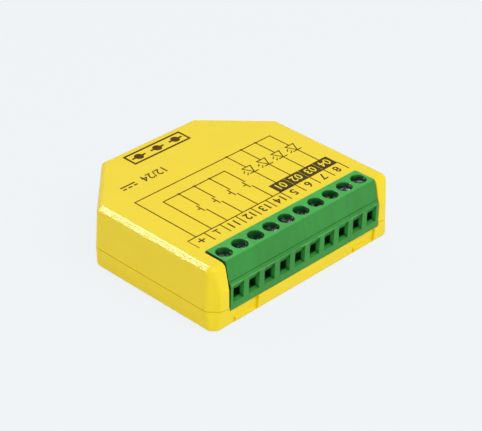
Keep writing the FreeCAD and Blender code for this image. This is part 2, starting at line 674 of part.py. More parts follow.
def light_pipe():
    """Clear pipe from above the indicator to the rear wall."""
    half = PIPE_WIDTH / 2
    knee_y = pipe_knee_y()
    foot = BOARD_TOP + LED_SIZE[2] + LED_GAP
    leg = block(PIPE_X - half, PIPE_X + half, knee_y - half, knee_y + half, foot, SERVICE_Z + half)
    arm = block(PIPE_X - half, PIPE_X + half, knee_y, WALL_INNER_Y - SEAT_GAP,
                SERVICE_Z - half, SERVICE_Z + half)
    nose = rod(PIPE_X, SERVICE_Z, PIPE_NOSE_RADIUS, knee_y, REAR_Y - BUTTON_RECESS)
    return join([leg, arm, nose])


def pipe_knee_y():
    """Upright leg of the light pipe, near the board's rear edge."""
    return REAR_Y - BOARD_INSET - PIPE_WIDTH


def header_xs():
    """Middle of each contact of the service header."""
    first = HEADER_X - (HEADER_WAYS - 1) / 2 * HEADER_PITCH
    return [first + i * HEADER_PITCH for i in range(HEADER_WAYS)]


def header_pin_y():
    """Pins of the service header, inside the board's rear edge."""
    return WALL_INNER_Y - HEADER_CLEAR - HEADER_HOLE_DEPTH - HEADER_PIN


def header_pin(x):
    y = header_pin_y()
    return centred(x, y, HEADER_PIN, HEADER_PIN, BOARD_Z - HEADER_PIN, SERVICE_Z)


def service_header():
    rear = WALL_INNER_Y - HEADER_CLEAR
    half = HEADER_WAYS * HEADER_PITCH / 2 + HEADER_MARGIN
    body = block(HEADER_X - half, HEADER_X + half, rear - HEADER_DEPTH, rear, BOARD_TOP,
                 SERVICE_Z + HEADER_SLOT_HEIGHT / 2)
    cuts = []
    for x in header_xs():
        hole = HEADER_HOLE / 2
        cuts.append(block(x - hole, x + hole, rear - HEADER_HOLE_DEPTH, rear + OVER,
                          SERVICE_Z - hole, SERVICE_Z + hole))
        cuts.append(header_pin(x))
    return body.cut(cuts)


# Radio module
def radio_top():
    return BOARD_TOP + RADIO_BOARD


def can_y():
    """Middle of the shield can, at the front of the radio module."""
    return RADIO_Y - RADIO_LENGTH / 2 + CAN_MARGIN + CAN_LENGTH / 2


def radio_shield():
    z0 = radio_top()
    outer = centred(RADIO_X, can_y(), CAN_WIDTH, CAN_LENGTH, z0, z0 + CAN_HEIGHT)
    inner = centred(RADIO_X, can_y(), CAN_WIDTH - 2 * CAN_WALL, CAN_LENGTH - 2 * CAN_WALL,
                    z0 - OVER, z0 + CAN_HEIGHT - CAN_WALL)
    return outer.cut(inner)


def under_can(place, size):
    """Chip on the radio module, placed from the middle of the shield can."""
    z0 = radio_top()
    return centred(RADIO_X + place[0], can_y() + place[1], size[0], size[1], z0, z0 + size[2])


def antenna_trace():
    """Copper that runs to and fro over the rear of the radio module."""
    z0 = radio_top()
    start_y = can_y() + CAN_LENGTH / 2 + 3 * TRACE_WIDTH
    step = (CAN_WIDTH - TRACE_WIDTH) / TRACE_FINGERS
    left = RADIO_X - CAN_WIDTH / 2
    bars = []
    for i in range(TRACE_FINGERS + 1):
        x = left + i * step
        bars.append(block(x, x + TRACE_WIDTH, start_y, start_y + TRACE_REACH, z0, z0 + TRACE_THICKNESS))
        if i < TRACE_FINGERS:
            y = start_y if i % 2 else start_y + TRACE_REACH - TRACE_WIDTH
            bars.append(block(x, x + step + TRACE_WIDTH, y, y + TRACE_WIDTH, z0, z0 + TRACE_THICKNESS))
    return join(bars)


# Power parts
def capacitor_place():
    """Middle of the capacitor, behind the sense resistors."""
    return SHELL_WIDTH / 2 - CAPACITOR_SIDE, sense_rear() + CAPACITOR_GAP + CAPACITOR_PLATE / 2


def input_capacitor():
    x, y = capacitor_place()
    z0 = BOARD_TOP + CAPACITOR_PLATE_HEIGHT
    can = post(x, y, CAPACITOR_RADIUS, z0, z0 + CAPACITOR_HEIGHT)
    return can.makeFillet(CAPACITOR_ROUNDING, level_edges(can, z0 + CAPACITOR_HEIGHT))


def capacitor_plate():
    x, y = capacitor_place()
    return on_board(x, y, (CAPACITOR_PLATE, CAPACITOR_PLATE, CAPACITOR_PLATE_HEIGHT))


def inductor_place():
    x, y = capacitor_place()
    return x - CAPACITOR_PLATE / 2 - INDUCTOR_SIZE / 2 - INDUCTOR_GAP, y


def buck_inductor():
    """Shielded inductor with cut corners, on two soldered end plates."""
    x, y = inductor_place()
    half = INDUCTOR_SIZE / 2
    cut = INDUCTOR_CUT
    ring = [(half - cut, -half), (half, -half + cut), (half, half - cut), (half - cut, half),
            (-half + cut, half), (-half, half - cut), (-half, -half + cut), (-half + cut, -half)]
    places = [(x + a, y + b) for a, b in ring]
    z0 = BOARD_TOP + INDUCTOR_PAD
    return prism(places, z0, places, z0 + INDUCTOR_HEIGHT)


def inductor_plates():
    x, y = inductor_place()
    reach = INDUCTOR_SIZE / 2 - INDUCTOR_CUT / 2
    size = (INDUCTOR_CUT, INDUCTOR_SIZE - 2 * INDUCTOR_CUT, INDUCTOR_PAD)
    return [on_board(x + side * reach, y, size) for side in (-1, 1)]


def transistor_places():
    """The output transistors, in a row behind the output terminals."""
    last = SHELL_WIDTH / 2 - BOARD_INSET - TRANSISTOR_WIDTH / 2 - TRANSISTOR_EDGE
    y = BLOCK_REAR + TRANSISTOR_BEHIND + TRANSISTOR_LENGTH / 2
    return [(last - i * TRANSISTOR_PITCH, y) for i in range(TRANSISTOR_COUNT)]


def transistor_leads():
    """Leads at both ends of each output transistor."""
    leads = []
    for x, y in transistor_places():
        for side in (-1, 1):
            end = y + side * (TRANSISTOR_LENGTH + LEAD_LENGTH) / 2
            for i in range(LEAD_COUNT):
                lead_x = x + (i - (LEAD_COUNT - 1) / 2) * LEAD_PITCH
                leads.append(on_board(lead_x, end, (LEAD_LENGTH, LEAD_LENGTH, LEAD_THICKNESS)))
    return leads


def sense_rear():
    """Rear edge of the sense resistors, behind the transistors' leads."""
    leads_rear = transistor_places()[0][1] + TRANSISTOR_LENGTH / 2 + LEAD_LENGTH
    return leads_rear + SENSE_GAP + SENSE_SIZE[1]


def sense_resistors():
    y = sense_rear() - SENSE_SIZE[1] / 2
    return [on_board(x, y, SENSE_SIZE) for x, _ in transistor_places()]


def chip_row(first_way, count, size):
    """Small chip components, one behind each of some terminals."""
    y = BLOCK_REAR + CHIP_BEHIND
    return [on_board(way_x(first_way + i), y, size) for i in range(count)]


def ceramic_capacitors():
    chips = chip_row(WAYS - CERAMIC_COUNT, CERAMIC_COUNT, CERAMIC_SIZE)
    x, y = inductor_place()
    left = x - INDUCTOR_SIZE / 2 - BULK_CERAMIC_GAP
    for step in (-1, 0, 1):
        chips.append(on_board(left, y + step * BULK_CERAMIC_PITCH, BULK_CERAMIC_SIZE))
    return chips


def beside_inductor(place, size):
    """Component placed from the middle of the inductor."""
    x, y = inductor_place()
    return on_board(x + place[0], y + place[1], size)


def gate_driver():
    x = RADIO_X + RADIO_WIDTH / 2 + DRIVER_GAP + DRIVER_SIZE[0] / 2
    return on_board(x, BLOCK_REAR + DRIVER_BEHIND, DRIVER_SIZE)


def small_parts():
    """Components of the radio module and of the board, by node name."""
    transistor = (TRANSISTOR_WIDTH, TRANSISTOR_LENGTH, TRANSISTOR_HEIGHT)
    return {
        "status_led": on_board(PIPE_X, pipe_knee_y(), LED_SIZE),
        "radio_board": on_board(RADIO_X, RADIO_Y, (RADIO_WIDTH, RADIO_LENGTH, RADIO_BOARD)),
        "radio_shield": radio_shield(),
        "radio_processor": under_can(PROCESSOR_PLACE, PROCESSOR_SIZE),
        "flash_chip": under_can(FLASH_PLACE, FLASH_SIZE),
        "radio_crystal": under_can(CRYSTAL_PLACE, CRYSTAL_SIZE),
        "antenna_trace": antenna_trace(),
        "input_capacitor": input_capacitor(),
        "capacitor_plate": capacitor_plate(),
        "buck_inductor": buck_inductor(),
        "inductor_plates": Part.makeCompound(inductor_plates()),
        "buck_converter": beside_inductor((-INDUCTOR_SIZE / 2 - CONVERTER_GAP, 0), CONVERTER_SIZE),
        "input_diode": beside_inductor(DIODE_PLACE, DIODE_SIZE),
        "surge_suppressor": beside_inductor(SURGE_PLACE, DIODE_SIZE),
        "input_fuse": beside_inductor(FUSE_PLACE, FUSE_SIZE),
        "output_transistors": Part.makeCompound([on_board(x, y, transistor)
                                                 for x, y in transistor_places()]),
        "transistor_leads": Part.makeCompound(transistor_leads()),
        "gate_driver": gate_driver(),
        "sense_resistors": Part.makeCompound(sense_resistors()),
        "input_resistors": Part.makeCompound(chip_row(0, RESISTOR_COUNT, RESISTOR_SIZE)),
        "ceramic_capacitors": Part.makeCompound(ceramic_capacitors()),
    }


def nodes():
    """Every node of the object by name."""
    ways = range(WAYS)
    found = {
        "top_cover": top_cover(),
        "base_shell": base_shell(),
        "terminal_contacts": Part.makeCompound([contact(way_x(way)) for way in ways]),
        "solder_joints": Part.makeCompound([solder_cone(way_x(way)) for way in ways]),
        "circuit_board": circuit_board(),
        "control_button": control_button(),
        "switch_plunger": switch_plunger(),
        "switch_body": switch_body(),
        "light_pipe": light_pipe(),
        "service_header": service_header(),
        "header_contacts": Part.makeCompound([header_pin(x) for x in header_xs()]),
    }
    for number, count in enumerate(MODULE_WAYS, 1):
        first = sum(MODULE_WAYS[:number - 1])
        found["terminal_housing_%d" % number] = housing_module(first, count)
    for way in ways:
        found["terminal_screw_%02d" % (way + 1)] = terminal_screw(way)
        found["clamp_cage_%02d" % (way + 1)] = clamp_cage(way)
    found.update(small_parts())
    return found


os.makedirs("parts", exist_ok=True)
for name, shape in nodes().items():
    shape.exportStep("parts/" + name + ".step")
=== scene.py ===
import bpy
import json
import math
from mathutils import Matrix, Vector


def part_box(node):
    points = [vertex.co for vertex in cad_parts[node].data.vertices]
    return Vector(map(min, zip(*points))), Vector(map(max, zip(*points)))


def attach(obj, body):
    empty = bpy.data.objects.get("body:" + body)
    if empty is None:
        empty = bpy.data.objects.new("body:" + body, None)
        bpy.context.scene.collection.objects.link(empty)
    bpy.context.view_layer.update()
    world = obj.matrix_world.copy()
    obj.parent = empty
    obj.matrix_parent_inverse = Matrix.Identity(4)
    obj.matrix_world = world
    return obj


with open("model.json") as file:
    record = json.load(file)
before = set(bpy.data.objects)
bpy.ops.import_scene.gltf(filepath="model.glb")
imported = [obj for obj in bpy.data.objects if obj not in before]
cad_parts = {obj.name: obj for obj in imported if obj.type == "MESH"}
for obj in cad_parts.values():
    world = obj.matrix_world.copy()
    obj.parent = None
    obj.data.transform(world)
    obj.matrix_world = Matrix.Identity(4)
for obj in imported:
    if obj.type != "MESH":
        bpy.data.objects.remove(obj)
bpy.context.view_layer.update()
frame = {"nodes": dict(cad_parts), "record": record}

MM = 0.001
BODY = "controller"
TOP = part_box("top_cover")[1][2]     # flat top of the cover, in metres

# Camera, fitted to the photograph: degrees, millimetres and pixels
CAMERA_AZIMUTH = -46.874
CAMERA_ELEVATION = 32.252
CAMERA_ROLL = 1.73
CAMERA_DISTANCE = 282.035
CAMERA_TARGET = (-2.204, -5.85, 8.0)
CLIP_METRES = (0.01, 10.0)
FOCAL_PIXELS = 1738.7
IMAGE_WIDTH = 482
SENSOR_MM = 36.0

# Studio: metres, linear colours and strengths
FLOOR_REACH = 1.5
FLOOR_LIT = (0.86, 0.88, 0.90)      # what the floor throws back at the object
FLOOR_GLOW = (0.882, 0.912, 0.936)  # even tone that the camera sees
FLOOR_SHADED = (0.80, 0.83, 0.86)   # tone that takes the shadow
FLOOR_SHADE_SHARE = 0.09            # share of that tone
WORLD_COLOR = (0.975, 0.962, 0.97)
WORLD_STRENGTH = 0.75
LAMP_AIM = (0, 0, 0.006)
# Name, direction towards the lamp, distance, width, height, radiance, and whether it
# shows in reflections alone
LAMPS = [
    ("key", (0.03, -0.60, 0.80), 0.60, 0.30, 0.30, 4.05, False),
    ("rim_line", (0.252, 0.578, 0.776), 0.50, 0.10, 0.15, 24.0, True),
    ("rim_band", (-0.643, 0.578, 0.502), 0.50, 0.60, 0.15, 24.0, True),
]

# Materials: linear colours, and features of a noise per metre
YELLOW = (0.945, 0.730, 0.010)
PAINTED_CREVICE_AMBER = (1.0, 0.76, 0.0)            # painted bounce light in the shade of crevices and seams of the yellow plastic
GREEN = (0.027, 0.412, 0.041)
PAINTED_SHADE_GREEN = (0.001, 0.068, 0.010)  # painted shade in the wells, wire entries and other crevices of the green plastic
PAINTED_HIGHLIGHT_GREEN = (0.17, 0.45, 0.15)     # painted highlight along the top edge of the block's front face
PAINTED_SIDE_SHADE = (1.12, 0.67, 0.89)   # painted shade on green faces that don't look up
BLACK = (0.018, 0.018, 0.020)
NOISE_SPREAD = (0.3, 0.7)           # range that most of a noise falls in
LOOKS_UP = (0.94, 0.99)             # Z of the normal where the painted side shade fades, from a sloping face to a level one
SEAM_CLOSED = (0.45, 0.8)           # open share inside and outside a seam, for its painted shade
CREVICE_SAMPLES = 16
RIM_LEAN = (0.08, 0.2)              # square of X times Z of normals on the side rims
FACE_TOP = 7.63                     # top edge of the block's standing front face, where the painted highlight runs, millimetres
EDGE_LINE = 0.12                    # reach of the painted highlight to each side of that edge, millimetres
MOTTLE_SCALE = 180.0
BAND_SCALE = 190.0
BAND_STRETCH = (1.0, 0.04, 0.04)
GLOSS_SCALE = 900.0
PATCH_SCALE = 700.0
RIM_SCALE = 3000.0
TARNISH_SCALE = 1400.0
SCRATCH_SCALE = 2500.0
SCRATCH_STRETCH = (1.0, 12.0, 12.0)
GRIME_AND_SHADE_SCALE = 1500.0
BLADE_SCALE = 3200.0
BLADE_STRETCH = (1.0, 0.35, 1.0)
SPECK_SCALE = 5000.0
INK_SCALE = 2600.0
TRACK_SCALE = 260.0
TRACK_SHARE = 0.03                  # mortar of the brick pattern that stands for tracks
BOARD_GLOSS_SCALE = 1200.0
BOARD_GRAIN_SCALE = 2600.0
CLEAR_GLOSS_SCALE = 1800.0

# Print on the cover, in millimetres
PITCH = 3.5
WAYS = 10
INK = 0.012                         # thickness of the print
INK_STEP = 0.0001                   # each stroke of a drawing lies this much higher
INK_SINK = 0.002                    # strokes start this far inside the cover
LINE = 0.215                        # width of a drawn line
DOT_RADIUS = 0.26
DOT_SIDES = 14
ROW_ENDS = (-17.5, 17.6)            # ruled row behind the block
BASELINE_Y = -9.07
SEPARATOR_END_Y = -11.65
FIRST_SEPARATOR = 0.6               # share of the line width at the left end
OUTER_RAIL_Y = 4.85                 # rail of the lamp diodes
OUTER_RAIL_LEFT = -15.7
INNER_RAIL_Y = 1.9                  # rail of the push buttons
SUPPLY_WAYS = (0, 1)
BUTTON_WAYS = (2, 3, 4, 5)
OUTPUT_WAYS = (6, 7, 8, 9)

# Lamp diode and the two arrows for its light
DIODE_BASE_Y = 0.33
DIODE_TIP_Y = -1.62
DIODE_HALF_WIDTH = 0.95
DIODE_LEAD_END_Y = -6.5
DIODE_SIDE_LINE = 0.95              # share of the line width
DIODE_TIP_OVERHANG = 0.05
ARROW_STARTS = ((1.12, -0.36), (0.98, -1.12))   # left of the diode, and Y
ARROW_RUN = 0.68
ARROW_FALL = 0.62
ARROW_LINE = 0.15
ARROW_HEAD = 0.34
ARROW_HEAD_SHARE = 0.5              # half width over length
ARROW_OVERLAP = 0.03

# Push button
BUTTON_LEAD_END_Y = -2.85
BUTTON_BAR_LEFT = 0.5               # left of the branch
BUTTON_BAR_ENDS_Y = (-2.6, -4.6)
BUTTON_STEM_Y = -3.6
BUTTON_STEM = 0.5
BUTTON_STEM_LINE = 0.9              # share of the line width
BUTTON_CAP_HALF = 0.18
BUTTON_CAP_LINE = 0.8               # share of the line width
BUTTON_BRANCH_Y = -4.38

# Plus sign and earth sign over the supply terminals
PLUS_Y = -10.34
PLUS_HALF_WIDTH = 0.72
PLUS_HALF_HEIGHT = 0.64
PLUS_LINE = 0.26
EARTH_Y = -9.75
EARTH_HALF_WIDTH = 0.6
EARTH_END_Y = -11.05
EARTH_LINE = 0.22

# Numbers: sizes are a height and a greatest width, and bold is the widening of strokes
GLYPH_STEPS = 6                     # straight pieces to a curve of a digit
TERMINAL_NUMBERS = ("11", "12", "13", "14", "5", "6", "7", "8")
TERMINAL_NUMBER_Y = -10.52
TERMINAL_NUMBER_SIZE = (1.62, 2.1)
TERMINAL_NUMBER_BOLD = 0.04
OUTPUT_NUMBERS = ("01", "02", "03", "04")
OUTPUT_NUMBER_Y = -7.72
OUTPUT_NUMBER_SIZE = (1.6, 2.6)
OUTPUT_NUMBER_BOLD = 0.03
OUTPUT_NUMBER_LAYER = 1.2           # thicknesses of ink over the cover
FIELD_LEFT = 3.5
FIELD_END_Y = -6.4
FIELD_GAP = 0.04                    # field of a way to the line between two ways
SUPPLY_NUMBERS = "12/24"
SUPPLY_PLACE = (-7.45, 9.2)
SUPPLY_SIZE = (1.7, 6.0)
SUPPLY_BOLD = 0.02

# Direct current sign
SIGN_START = -11.35
SIGN_STEP = 1.2
SIGN_DASH = 0.78
SIGN_DASHES = 3
SIGN_LINE = 0.3
SIGN_SOLID_Y = 9.55
SIGN_DASHED_Y = 8.85

# Pictogram of a light strip
STRIP_X = (-7.3, 5.3)
STRIP_Y = (13.7, 16.5)
STRIP_LINE = 0.4
STRIP_LAMPS = 3
STRIP_LAMP_RADIUS = 0.85
STRIP_LAMP_SIDES = 24
STRIP_LEAD_END = 1.5                # from the middle of a lamp


def way_x(way):
    """Middle of a terminal in millimetres, counted from the left."""
    return (way - (WAYS - 1) / 2) * PITCH


def shade(color, factor):
    """Lighter or darker version of a colour."""
    return tuple(min(1.0, c * factor) for c in color)


def placed(name, data):
    """New object of the scene for a mesh, curve, lamp or camera."""
    piece = bpy.data.objects.new(name, data)
    bpy.context.scene.collection.objects.link(piece)
    return piece


# Node helpers for materials
class Nodes:
    """Shorthand for building one material's node tree."""

    def __init__(self, name):
        self.material = bpy.data.materials.new(name)
        self.material.use_nodes = True
        self.tree = self.material.node_tree
        self.tree.nodes.clear()
        self.out = self.add("ShaderNodeOutputMaterial")
        self.shader = self.add("ShaderNodeBsdfPrincipled")
        self.link(self.shader, "BSDF", self.out, "Surface")
        self.coord = self.add("ShaderNodeTexCoord")

    def add(self, kind, **values):
        node = self.tree.nodes.new(kind)
        for key, value in values.items():
            setattr(node, key, value)
        return node

    def link(self, a, out, b, into):
        self.tree.links.new(a.outputs[out], b.inputs[into])

    def set(self, **values):
        """Values of the shader's own sockets."""
        for key, value in values.items():
            self.shader.inputs[key.replace("_", " ")].default_value = value

    def finish(self, tone, gloss, normal):
        """Colour, roughness and normal of the shader from three nodes."""
        self.link(tone, "Color", self.shader, "Base Color")
        self.link(gloss, "Result", self.shader, "Roughness")
        if normal:
            self.link(normal, "Normal", self.shader, "Normal")
        return self.material

    def noise(self, scale, detail=3.0, rough=0.5, stretch=None, distort=0.0):
        """Noise in object space; scale is in features per metre."""
        node = self.add("ShaderNodeTexNoise")
        node.inputs["Scale"].default_value = scale
        node.inputs["Detail"].default_value = detail
        node.inputs["Roughness"].default_value = rough
        node.inputs["Distortion"].default_value = distort
        if stretch:
            mapping = self.add("ShaderNodeMapping")
            mapping.inputs["Scale"].default_value = stretch
            self.link(self.coord, "Object", mapping, "Vector")
            self.link(mapping, "Vector", node, "Vector")
        else:
            self.link(self.coord, "Object", node, "Vector")
        return node

    def ramp(self, source, stops):
        """Colours between stops, by a noise."""
        node = self.add("ShaderNodeValToRGB")
        while len(node.color_ramp.elements) < len(stops):
            node.color_ramp.elements.new(0.5)
        for element, (place, color) in zip(node.color_ramp.elements, stops):
            element.position = place
            element.color = color + (1.0,)
        self.link(source, "Fac", node, "Fac")
        return node

    def spread(self, source, out, before, after=(0.0, 1.0)):
        """Value taken from one range to another, and held at its ends."""
        node = self.add("ShaderNodeMapRange")
        for place, value in zip(("From Min", "From Max", "To Min", "To Max"), before + after):
            node.inputs[place].default_value = value
        self.link(source, out, node, "Value")
        return node

    def remap(self, source, low, high):
        """Range of a noise spread over low to high."""
        return self.spread(source, "Fac", NOISE_SPREAD, (low, high))

    def bump(self, source, distance, out="Fac", under=None):
        """Relief of a height, in millimetres, over that of another bump node."""
        node = self.add("ShaderNodeBump")
        node.inputs["Distance"].default_value = distance * MM
        node.inputs["Strength"].default_value = 1.0
        self.link(source, out, node, "Height")
        if under:
            self.link(under, "Normal", node, "Normal")
        return node

    def math(self, operation, a, b=0.0):
        """Math node; a and b are numbers or a node with the name of its output."""
        node = self.add("ShaderNodeMath", operation=operation)
        for place, value in enumerate((a, b)):
            if isinstance(value, tuple):
                self.tree.links.new(value[0].outputs[value[1]], node.inputs[place])
            else:
                node.inputs[place].default_value = value
        return node

    def split(self, kind):
        """X, Y and Z of the place or the normal in object space."""
        node = self.add("ShaderNodeSeparateXYZ")
        self.link(self.coord, kind, node, "Vector")
        return node

    def times(self, tone, factor, out="Result"):
        """Colour of one node multiplied by what another gives."""
        node = self.add("ShaderNodeMixRGB", blend_type="MULTIPLY")
        node.inputs["Fac"].default_value = 1.0
        self.link(tone, "Color", node, "Color1")
        self.link(factor, out, node, "Color2")
        return node

    def mix(self, share, out, first, second):
        """Second colour by a share over the first; each is a colour or a node."""
        node = self.add("ShaderNodeMixRGB")
        self.link(share, out, node, "Fac")
        for place, tone in (("Color1", first), ("Color2", second)):
            if isinstance(tone, tuple):
                node.inputs[place].default_value = tone + (1.0,)
            else:
                self.link(tone, "Color", node, place)
        return node

    def paint_crevice_light_and_shade(self, tone, crevice_paint, reach, closed):
        """Colour that goes over to painted shade and bounce light where surroundings within
        reach, in millimetres, leave less of the open air than the two shares in closed."""
        around = self.add("ShaderNodeAmbientOcclusion", samples=CREVICE_SAMPLES)
        around.inputs["Distance"].default_value = reach * MM
        return self.mix(self.spread(around, "AO", closed), "Result", crevice_paint, tone)

    def paint_edge_highlight(self, tone, highlight, height):
        """Colour with a thin broken painted highlight along an edge at a height in millimetres."""
        above = self.math("SUBTRACT", (self.split("Object"), "Z"), height * MM)
        away = self.math("ABSOLUTE", (above, "Value"))
        near = self.spread(away, "Value", (0.0, EDGE_LINE * MM), (1.0, 0.0))
        patchy = self.ramp(self.noise(PATCH_SCALE, 2.0), [(0.42, (0.15,) * 3), (0.6, (1.0,) * 3)])
        share = self.math("MULTIPLY", (near, "Result"), (patchy, "Color"))
        return self.mix(share, "Value", tone, highlight)

    def paint_side_shade(self, tone, side_shade_tone):
        """Colour with painted shade on faces that don't look up."""
        level = self.spread(self.split("Normal"), "Z", LOOKS_UP)
        return self.times(tone, self.mix(level, "Result", side_shade_tone, (1.0, 1.0, 1.0)), "Color")

    def on_side_rims(self, source):
        """Height from a noise that is full on 45 degree slopes to the left and right and
        nil on other faces."""
        face = self.split("Normal")
        lean = self.math("MULTIPLY", (face, "X"), (face, "Z"))
        square = self.math("MULTIPLY", (lean, "Value"), (lean, "Value"))
        full = self.spread(square, "Value", RIM_LEAN)
        return self.math("MULTIPLY", (source, "Fac"), (full, "Result"))


# Materials
def moulded(name, color, rough, grain=0.004, grain_scale=5200.0, spread=0.05, mottle=0.012,
            specular=0.5, crevice_paint=None, reach=0.0, closed=None, seam=0.0, rim_grain=0.0,
            side_shade=None, bands=0.0, highlight=None):
    """Moulded plastic: faint mottling, fine spark-eroded grain, slightly uneven gloss.
    Grain and reach are in millimetres. Crevice paint is painted shade and bounce light: the
    colour goes over to it where surroundings within reach close it in, by the two shares in
    closed, and seam is the reach of a second test that paints it into steps and gaps alone.
    Rim grain is a coarser grain on the rounded side rims. Side shade is painted shade on
    faces that don't look up, bands are faint flow marks across the length, and highlight is
    the colour of a painted highlight along the top of the block's front face."""
    n = Nodes(name)
    cloud = n.noise(MOTTLE_SCALE, 2.0)
    tone = n.ramp(cloud, [(0.3, shade(color, 1 - mottle)), (0.7, shade(color, 1 + mottle))])
    # Painted shade on faces that don't look up
    if side_shade:
        tone = n.paint_side_shade(tone, side_shade)
    if bands:
        flow = n.noise(BAND_SCALE, 3.0, 0.6, stretch=BAND_STRETCH)
        tone = n.times(tone, n.remap(flow, 1.0 - bands, 1.0 + bands))
    # Painted highlight along the top of the block's front face
    if highlight:
        tone = n.paint_edge_highlight(tone, highlight, FACE_TOP)
    # Painted shade and bounce light in crevices, then in seams
    if crevice_paint:
        tone = n.paint_crevice_light_and_shade(tone, crevice_paint, reach, closed)
    if seam:
        tone = n.paint_crevice_light_and_shade(tone, crevice_paint, seam, SEAM_CLOSED)
    gloss = n.remap(n.noise(GLOSS_SCALE), rough - spread, rough + spread)
    relief = n.bump(n.noise(grain_scale, 2.0, 0.6), grain)
    if rim_grain:
        coarse = n.on_side_rims(n.noise(RIM_SCALE, 1.0))
        relief = n.bump(coarse, rim_grain, out="Value", under=relief)
    n.set(Specular_IOR_Level=specular)
    return n.finish(tone, gloss, relief)


def metal(name, color, rough, tarnish=None):
    """Plated metal: fine scratches, uneven gloss and darker tarnish in patches."""
    n = Nodes(name)
    patches = n.noise(TARNISH_SCALE, 4.0, 0.6)
    tone = n.ramp(patches, [(0.35, tarnish or shade(color, 0.55)), (0.6, color)])
    lines = n.noise(SCRATCH_SCALE, 4.0, 0.7, stretch=SCRATCH_STRETCH)
    n.set(Metallic=1.0)
    return n.finish(tone, n.remap(lines, rough - 0.1, rough + 0.16), n.bump(lines, 0.001))


def screw_metal(name):
    """Plated screw heads: bright patches, very dark patches that are partly grime and partly
    painted shade of the wells, and scratches from a blade.
    """
    n = Nodes(name)
    patches = n.noise(GRIME_AND_SHADE_SCALE, 4.0, 0.65)
    # The darkest stop is partly grime and partly painted shade of the wells
    tone = n.ramp(patches, [(0.36, (0.06, 0.066, 0.072)), (0.48, (0.22, 0.235, 0.25)),
                            (0.6, (0.88, 0.89, 0.9))])
    lines = n.noise(BLADE_SCALE, 3.0, 0.7, stretch=BLADE_STRETCH, distort=0.4)
    n.set(Metallic=1.0)
    return n.finish(tone, n.remap(lines, 0.16, 0.42), n.bump(lines, 0.006))


def laminate(name, color, trace):
    """Circuit board: solder mask with faint copper tracks showing through."""
    n = Nodes(name)
    tracks = n.add("ShaderNodeTexBrick")
    n.link(n.coord, "Object", tracks, "Vector")
    tracks.inputs["Scale"].default_value = TRACK_SCALE
    tracks.inputs["Color1"].default_value = color + (1.0,)
    tracks.inputs["Color2"].default_value = shade(color, 1.15) + (1.0,)
    tracks.inputs["Mortar"].default_value = trace + (1.0,)
    tracks.inputs["Mortar Size"].default_value = TRACK_SHARE
    gloss = n.remap(n.noise(BOARD_GLOSS_SCALE), 0.28, 0.42)
    return n.finish(tracks, gloss, n.bump(n.noise(BOARD_GRAIN_SCALE), 0.002))


def ceramic(name, color, rough=0.45):
    """Fired component body: speckled and slightly uneven."""
    n = Nodes(name)
    speck = n.noise(SPECK_SCALE, 3.0, 0.7)
    tone = n.ramp(speck, [(0.35, shade(color, 0.8)), (0.65, shade(color, 1.15))])
    return n.finish(tone, n.remap(speck, rough - 0.08, rough + 0.1), n.bump(speck, 0.002))


def clear_plastic(name):
    """Clear light pipe, slightly cloudy."""
    n = Nodes(name)
    cloud = n.noise(PATCH_SCALE, 2.0)
    tone = n.ramp(cloud, [(0.3, (0.86, 0.9, 0.9)), (0.7, (0.95, 0.97, 0.97))])
    n.set(Transmission_Weight=0.75, IOR=1.49)
    return n.finish(tone, n.remap(n.noise(CLEAR_GLOSS_SCALE), 0.12, 0.25), None)


def ink_material(name, dense, thin):
    """Matte pad-printed ink, a little thin in places."""
    n = Nodes(name)
    cover = n.noise(INK_SCALE, 4.0, 0.65)
    n.set(Specular_IOR_Level=0.0)
    return n.finish(n.ramp(cover, [(0.32, dense), (0.72, thin)]), n.remap(cover, 0.5, 0.7),
                    n.bump(cover, 0.003))


